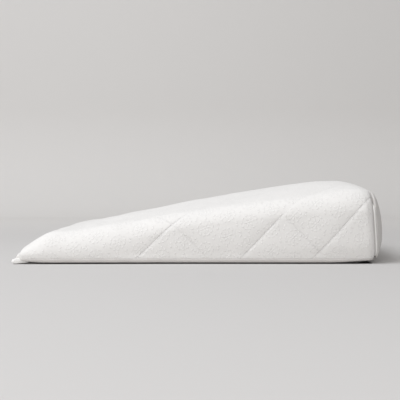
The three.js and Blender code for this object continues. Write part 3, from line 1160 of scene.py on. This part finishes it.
class Bench:
    """Places and links the nodes of one shader tree."""

    def __init__(self, tree: NodeTree) -> None:
        """Takes the tree that the nodes go into."""
        self.tree = tree

    def put(self, kind: str, inputs: dict[str | int, Value] | None = None, **settings: object) -> Node:
        """Adds a node.

        Args:
            kind: The node's type, without its leading words.
            inputs: Values or sockets for its inputs.
            **settings: Its other properties.

        Returns:
            The new node.
        """
        node = self.tree.nodes.new("ShaderNode" + kind)
        for name, value in settings.items():
            setattr(node, name, value)
        return self.feed(node, inputs or {})

    def feed(self, node: Node, inputs: dict[str | int, Value]) -> Node:
        """Sets or links inputs of a node, and gives it back."""
        for key, value in inputs.items():
            if isinstance(value, NodeSocket):
                self.tree.links.new(value, node.inputs[key])
            else:
                node.inputs[key].default_value = value
        return node

    def math(self, operation: str, *values: Value) -> NodeSocket:
        """Result of a Math node."""
        return self.put("Math", dict(enumerate(values)), operation=operation).outputs[0]

    def vector(self, operation: str, *values: Value, output: str = "Vector") -> NodeSocket:
        """Result of a Vector Math node."""
        return self.put("VectorMath", dict(enumerate(values)), operation=operation).outputs[output]

    def ramp(self, value: Value, *ends: float) -> NodeSocket:
        """Smooth rise of a value between two ends, from 0 to 1 or to two more ends."""
        inputs = {0: value, **dict(enumerate(ends, 1))}
        return self.put("MapRange", inputs, interpolation_type="SMOOTHSTEP").outputs[0]

    def turned(self, place: Value, angle: Value) -> NodeSocket:
        """Place turned about the Z axis."""
        inputs = {"Vector": place, "Angle": angle}
        return self.put("VectorRotate", inputs, rotation_type="Z_AXIS").outputs[0]

    def parts(self, place: Value) -> list[NodeSocket]:
        """X and Y of a place."""
        return self.put("SeparateXYZ", {0: place}).outputs[:2]

    def mix(self, share: Value, first: Value, second: Value, **settings: str) -> NodeSocket:
        """Mix of two colours."""
        inputs = {"Factor": share, 6: first, 7: second}
        return self.put("Mix", inputs, data_type="RGBA", **settings).outputs[2]

    def group(self, tree: NodeTree, **inputs: Value) -> Node:
        """Adds a node group with its inputs."""
        named = {key.capitalize(): value for key, value in inputs.items()}
        return self.put("Group", named, node_tree=tree)


class GroupBench(Bench):
    """Bench for a node group with named inputs and outputs."""

    def __init__(self, name: str, inputs: dict[str, str], *outputs: str) -> None:
        """Starts the group.

        Args:
            name: Name of the group.
            inputs: Names and kinds of its inputs.
            *outputs: Names of its outputs, each a number.
        """
        super().__init__(bpy.data.node_groups.new(name, "ShaderNodeTree"))
        sockets = [(label, "INPUT", kind) for label, kind in inputs.items()]
        for label, way, kind in sockets + [(label, "OUTPUT", "Float") for label in outputs]:
            self.tree.interface.new_socket(label, in_out=way, socket_type="NodeSocket" + kind)
        self.given = self.tree.nodes.new("NodeGroupInput").outputs[: len(inputs)]
        self.end = self.tree.nodes.new("NodeGroupOutput")

    def give(self, **results: NodeSocket) -> NodeTree:
        """Links the group's outputs, and gives the group."""
        self.feed(self.end, {key.capitalize(): value for key, value in results.items()})
        return self.tree


@dataclass(frozen=True)
class SprigWeave:
    """Small raised rosettes of the jacquard, one in each cell of a staggered lattice."""

    cell: float = 0.037
    # centre, turn, half length and half width of each leaf, in shares of a cell
    leaves: tuple[tuple[float, float, float, float, float], ...] = (
        (0.15, 0.02, 0.2, 0.080, 0.032),
        (0.06, 0.15, -0.9, 0.075, 0.030),
        (-0.10, 0.12, 0.8, 0.080, 0.032),
        (-0.16, -0.04, -0.2, 0.070, 0.030),
        (-0.04, -0.16, 1.4, 0.075, 0.031),
        (0.11, -0.12, 0.8, 0.065, 0.028),
        (0.42, 0.40, 0.7, 0.075, 0.030),
        (-0.40, 0.43, -0.7, 0.065, 0.028),
    )
    # centre, radius, number of dashes and stroke of each dashed ring
    rings: tuple[tuple[float, ...], ...] = ((0.0, 0.0, 0.34, 11.0, 0.032),)
    dots: tuple[tuple[float, float], ...] = (
        (0.0, 0.0),
        (0.44, -0.38),
        (-0.45, -0.42),
        (0.02, 0.46),
    )
    dot_size: float = 0.040
    # how softly leaves, rings and dashes begin and end
    leaf_edge: tuple[float, float] = (1.25, 0.65)
    ring_edge: tuple[float, float] = (1.3, 0.5)
    dash_edge: tuple[float, float] = (-0.2, 0.35)

    def leaf(self) -> NodeTree:
        """Group for the mask of one leaf."""
        inputs = {"Place": "Vector", "Centre": "Vector", "Turn": "Float", "Size": "Vector"}
        bench = GroupBench("leaf shape", inputs, "Mask")
        place, centre, turn, size = bench.given
        turned = bench.turned(bench.vector("SUBTRACT", place, centre), turn)
        length = bench.vector("LENGTH", bench.vector("DIVIDE", turned, size), output="Value")
        return bench.give(mask=bench.ramp(length, *self.leaf_edge))

    def dashed_ring(self) -> NodeTree:
        """Group for the mask of a ring of dashes."""
        inputs = {"Place": "Vector", "Centre": "Vector"}
        inputs |= {"Radius": "Float", "Dashes": "Float", "Stroke": "Float"}
        bench = GroupBench("dashed ring", inputs, "Mask")
        place, centre, radius, dashes, stroke = bench.given
        moved = bench.vector("SUBTRACT", place, centre)
        length = bench.vector("LENGTH", moved, output="Value")
        off = bench.math("ABSOLUTE", bench.math("SUBTRACT", length, radius))
        ring = bench.ramp(bench.math("DIVIDE", off, stroke), *self.ring_edge)
        x, y = bench.parts(moved)
        wave = bench.math("COSINE", bench.math("MULTIPLY", bench.math("ARCTAN2", y, x), dashes))
        return bench.give(mask=bench.math("MULTIPLY", ring, bench.ramp(wave, *self.dash_edge)))

    def build(self) -> NodeTree:
        """Group for the mask of the whole lattice, on a place in metres."""
        bench = GroupBench("sprig weave", {"Place": "Vector"}, "Mask")
        scaled = {0: bench.given[0], "Scale": 1 / self.cell}
        x, y = bench.parts(bench.put("VectorMath", scaled, operation="SCALE").outputs[0])
        column = bench.math("FLOOR", x)
        stagger = bench.math("MULTIPLY", bench.math("FLOORED_MODULO", column, 2.0), 0.5)
        y = bench.math("ADD", y, stagger)
        cell = bench.put("CombineXYZ", {0: column, 1: bench.math("FLOOR", y)}).outputs[0]
        chance = bench.put("TexWhiteNoise", {"Vector": cell}, noise_dimensions="3D").outputs[0]
        inside = (bench.math("SUBTRACT", bench.math("FRACT", value), 0.5) for value in (x, y))
        local = bench.put("CombineXYZ", dict(enumerate(inside))).outputs[0]
        quarter = bench.math("SNAP", chance, 0.25)
        turned = bench.turned(local, bench.math("MULTIPLY", quarter, 2 * math.pi))
        leaf, ring = self.leaf(), self.dashed_ring()
        masks = []
        dots = tuple((*dot, 0.0, self.dot_size, self.dot_size) for dot in self.dots)
        for x, up, turn, length, width in self.leaves + dots:
            inputs = {"centre": (x, up, 0), "turn": turn, "size": (length, width, 1)}
            masks.append(bench.group(leaf, place=turned, **inputs).outputs[0])
        for x, up, radius, dashes, stroke in self.rings:
            inputs = {"centre": (x, up, 0), "radius": radius, "dashes": dashes, "stroke": stroke}
            masks.append(bench.group(ring, place=turned, **inputs).outputs[0])
        whole = masks[0]
        for mask in masks[1:]:
            whole = bench.math("MAXIMUM", whole, mask)
        return bench.give(mask=whole)


def knit_loops() -> NodeTree:
    """Group for the height of fine knit loops, on a place in metres."""
    bench = GroupBench("knit loops", {"Place": "Vector", "Wale": "Float"}, "Height")
    place, wale = bench.given
    wales, courses = (bench.math("DIVIDE", part, wale) for part in bench.parts(place))

    def row(value: NodeSocket) -> NodeSocket:
        """Height of a row of round threads."""
        return bench.math("ABSOLUTE", bench.math("SINE", bench.math("MULTIPLY", value, math.pi)))

    lean, floor = 0.5, 0.6
    column = row(wales)
    loop = row(bench.math("ADD", courses, bench.math("MULTIPLY", column, lean)))
    return bench.give(height=bench.math("MULTIPLY", column, bench.math("ADD", loop, floor)))


def cloth_unevenness() -> NodeTree:
    """Group for the slow change of shade and the fine fuzz of washed cloth."""
    inputs = {"Place": "Vector", "Patch": "Float", "Strength": "Float"}
    bench = GroupBench("cloth unevenness", inputs, "Shade", "Fuzz")
    place, patch, strength = bench.given
    scale = bench.math("DIVIDE", 1.0, patch)
    fuzz_scale = 900.0
    patches = bench.put("TexNoise", {"Vector": place, "Scale": scale, "Detail": 2.0}).outputs[0]
    fuzz = bench.put("TexNoise", {"Vector": place, "Scale": fuzz_scale, "Detail": 3.0}).outputs[0]
    swing = bench.math("MULTIPLY", bench.math("SUBTRACT", patches, 0.5), strength)
    return bench.give(shade=bench.math("ADD", swing, 1.0), fuzz=fuzz)


class Place(Enum):
    """What a cloth's weave follows."""

    CLOTH = "uv"
    BODY = "object"


@dataclass(frozen=True)
class KnitFinish:
    """A white knit cloth."""

    name: str
    colour: tuple[float, float, float]
    raised: tuple[float, float, float] = (1.0, 1.0, 1.0)
    roughness: float = 0.92
    roughness_swing: float = 0.06
    sheen: float = 0.12
    sheen_roughness: float = 0.5
    specular: float = 0.2
    patch: float = 0.05
    patch_strength: float = 0.05
    wale: float = 0.0011
    loop_height: float = 0.10
    fuzz_height: float = 0.035
    fuzz_range: tuple[float, float] = (0.2, 0.8)
    sprig_height: float = 0.0
    groove_shade: float = 0.0
    groove_reach: tuple[float, float] = (0.0005, 0.004)
    crease: float = 0.45
    crease_half_width: float = 0.0013
    follows: Place = Place.CLOTH
    relief: float = 0.0012

    def build(self, groups: "ClothGroups") -> Material:
        """Makes the material.

        Args:
            groups: The node groups that the cloths share.

        Returns:
            The material.
        """
        material = bpy.data.materials.new(self.name)
        material.use_nodes = True
        bench = Bench(material.node_tree)
        place = body = bench.put("TexCoord").outputs["Object"]
        if self.follows is Place.CLOTH:
            place = bench.put("UVMap", uv_map=CLOTH_UV).outputs[0]
        uneven = {"place": body, "patch": self.patch, "strength": self.patch_strength}
        shade, fuzz = bench.group(groups.uneven, **uneven).outputs
        loops = bench.group(groups.loops, place=place, wale=self.wale).outputs[0]
        height = bench.math("MULTIPLY", loops, self.loop_height)
        height = bench.math("MULTIPLY_ADD", fuzz, self.fuzz_height, height)
        colour: Value = (*self.colour, 1.0)
        if self.sprig_height:
            sprigs = bench.group(groups.sprigs, place=place).outputs[0]
            height = bench.math("MULTIPLY_ADD", sprigs, self.sprig_height, height)
            colour = bench.mix(sprigs, colour, (*self.raised, 1.0))
        # Painted shade: the base colour is darkened towards the quilting lines, where the grooves fall
        # into shade.
        if self.groove_shade:
            distance = bench.put("Attribute", attribute_name=LINE_DISTANCE).outputs["Fac"]
            groove = bench.ramp(distance, *self.groove_reach, 1 - self.groove_shade, 1.0)
            shade = bench.math("MULTIPLY", shade, groove)
            crease = bench.ramp(distance, 0.0, self.crease_half_width, -self.crease, 0.0)
            height = bench.math("ADD", height, crease)
        rough = (self.roughness - self.roughness_swing, self.roughness + self.roughness_swing)
        bump = bench.put("Bump", {"Strength": 1.0, "Distance": self.relief, "Height": height})
        look = {
            "Base Color": bench.mix(1.0, colour, shade, blend_type="MULTIPLY"),
            "Roughness": bench.ramp(fuzz, *self.fuzz_range, *rough),
            "Normal": bump.outputs[0],
            "Sheen Weight": self.sheen,
            "Sheen Roughness": self.sheen_roughness,
            "Specular IOR Level": self.specular,
        }
        bench.feed(material.node_tree.nodes["Principled BSDF"], look)
        return material


@dataclass
class ClothGroups:
    """The node groups that the cloths share."""

    sprigs: NodeTree = field(default_factory=lambda: SprigWeave().build())
    loops: NodeTree = field(default_factory=knit_loops)
    uneven: NodeTree = field(default_factory=cloth_unevenness)


@dataclass(frozen=True)
class SoftLight:
    """A square soft light."""

    name: str
    place: tuple[float, float, float]
    aim: tuple[float, float, float]
    size: float
    watts: float
    colour: tuple[float, float, float] = (1.0, 1.0, 1.0)

    def build(self) -> None:
        """Hangs the light."""
        lamp = bpy.data.lights.new(self.name, "AREA")
        lamp.shape = "SQUARE"
        lamp.size = self.size
        lamp.energy = self.watts
        lamp.color = self.colour
        obj = bpy.data.objects.new(self.name, lamp)
        obj.location = self.place
        way = Vector(self.aim) - Vector(self.place)
        obj.rotation_euler = way.to_track_quat("-Z", "Y").to_euler()
        bpy.context.scene.collection.objects.link(obj)


@dataclass
class Studio:
    """The pale floor that curves up into a wall, the camera and the lights."""

    floor_colour: tuple[float, float, float] = (0.586, 0.573, 0.564)
    wall_colour: tuple[float, float, float] = (0.708, 0.692, 0.676)
    wall_tone: tuple[float, float] = (0.30, 1.90)
    paper_roughness: float = 0.85
    paper_specular: float = 0.2
    floor_near: float = -8.0
    cove_start: float = 1.9
    cove_radius: float = 0.5
    wall_height: float = 3.5
    half_width: float = 9.0
    cove_steps: int = 24
    camera_place: tuple[float, float, float] = (-0.00825, -1.8, 0.1297)
    camera_pitch: float = 0.8206
    lens: float = 80.43
    world_colour: tuple[float, float, float] = (1.0, 0.995, 0.99)
    world_strength: float = 0.50
    lights: tuple[SoftLight, ...] = (
        SoftLight("key", (-1.95, -1.3, 3.6), (0, 0, 0.05), 2.4, 111, (0.968, 0.990, 1.022)),
        SoftLight("front_fill", (-0.8, -2.7, 0.45), (0, 0, 0.06), 1.6, 22, (1, 0.985, 0.96)),
    )

    def camera(self) -> None:
        """Sets the camera at the photograph's view."""
        data = bpy.data.cameras.new("camera")
        data.lens = self.lens
        data.sensor_width = 36.0
        data.clip_start = 0.01
        obj = bpy.data.objects.new("camera", data)
        obj.location = self.camera_place
        obj.rotation_euler = (math.radians(90 - self.camera_pitch), 0, 0)
        bpy.context.scene.collection.objects.link(obj)
        bpy.context.scene.camera = obj

    def backdrop(self) -> None:
        """Draws the floor out, bends it up and gives it its paper."""
        bm = bmesh.new()
        ends = [bm.verts.new((x, self.floor_near, 0)) for x in (-self.half_width, self.half_width)]
        line = [bm.edges.new(ends)]

        def pull(step: Vector) -> None:
            """Extrudes the leading edge."""
            line[:], verts = drawn_out(bm, line)
            bmesh.ops.translate(bm, verts=verts, vec=step)

        pull(Vector((0, self.cove_start - self.floor_near, 0)))
        turn = math.pi / 2 / self.cove_steps
        for k in range(self.cove_steps):
            a, b = turn * k, turn * (k + 1)
            step = Vector((0, math.sin(b) - math.sin(a), math.cos(a) - math.cos(b)))
            pull(step * self.cove_radius)
        pull(Vector((0, 0, self.wall_height)))
        bmesh.ops.recalc_face_normals(bm, faces=bm.faces)
        floor = mesh_object("studio_floor", to_mesh(bm))
        paper = bpy.data.materials.new("studio_paper")
        paper.use_nodes = True
        bench = Bench(paper.node_tree)
        _, back = bench.parts(bench.put("TexCoord").outputs["Object"])
        colours = (*self.floor_colour, 1.0), (*self.wall_colour, 1.0)
        tone = bench.mix(bench.ramp(back, *self.wall_tone), *colours)
        look = {
            "Base Color": tone,
            "Roughness": self.paper_roughness,
            "Specular IOR Level": self.paper_specular,
        }
        bench.feed(paper.node_tree.nodes["Principled BSDF"], look)
        floor.data.materials.append(paper)

    def light(self) -> None:
        """Hangs the lights and sets the even light of the room."""
        for lamp in self.lights:
            lamp.build()
        world = bpy.data.worlds.new("room")
        world.use_nodes = True
        look = {"Color": (*self.world_colour, 1.0), "Strength": self.world_strength}
        Bench(world.node_tree).feed(world.node_tree.nodes["Background"], look)
        bpy.context.scene.world = world
        bpy.context.scene.view_settings.view_transform = "Standard"

    def build(self) -> None:
        """Sets up the whole studio."""
        self.camera()
        self.backdrop()
        self.light()


def main() -> None:
    """Builds the studio and every piece of the pillow in order."""
    logging.basicConfig(level=logging.INFO, format="%(message)s")
    Studio().build()
    groups = ClothGroups()
    quilted = KnitFinish(
        "quilted_knit",
        (0.80, 0.785, 0.77),
        raised=(0.845, 0.83, 0.815),
        sprig_height=0.40,
        groove_shade=0.03,
        loop_height=0.05,
    )
    # The plain knit is greyer than the quilted cloth partly as its own tone and partly as painted
    # shade, because the end panel and the base band it covers face away from the lights.
    plain = KnitFinish("plain_knit", (0.715, 0.695, 0.675), wale=0.0013, loop_height=0.14)
    seam = KnitFinish("seam_knit", (0.90, 0.89, 0.875), follows=Place.BODY, loop_height=0.12)
    fine = {"follows": Place.BODY, "wale": 0.0004, "relief": 0.0003}
    thread = KnitFinish("thread", (0.86, 0.85, 0.84), **fine)
    finishes = (quilted, plain, seam, thread)
    quilted, plain, seam, thread = (finish.build(groups) for finish in finishes)
    form = WedgeForm()
    table = ClothTable(form)
    quilting = Quilting()
    outline = EndOutline(form)

    def add(maker: Piece, finish: Material, *under: Object) -> Object:
        """Builds, dresses and reports a piece, laid on another where it needs one."""
        piece = maker.build(*under)
        maker.dress(piece, finish)
        LOG.info("%s: %d faces", piece.name, len(piece.data.polygons))
        return piece

    cushion = add(QuiltedCushion(form, table, quilting), quilted)
    add(QuiltStitches(table, quilting), thread, cushion)
    add(EndPanel(form, outline), plain)
    add(EndSeam(form, outline), seam)
    add(BasePanel(form), plain)
    add(ToeEar(form, Side.NEAR), seam)
    add(ToeEar(form, Side.FAR), seam)


if __name__ == "__main__":
    main()
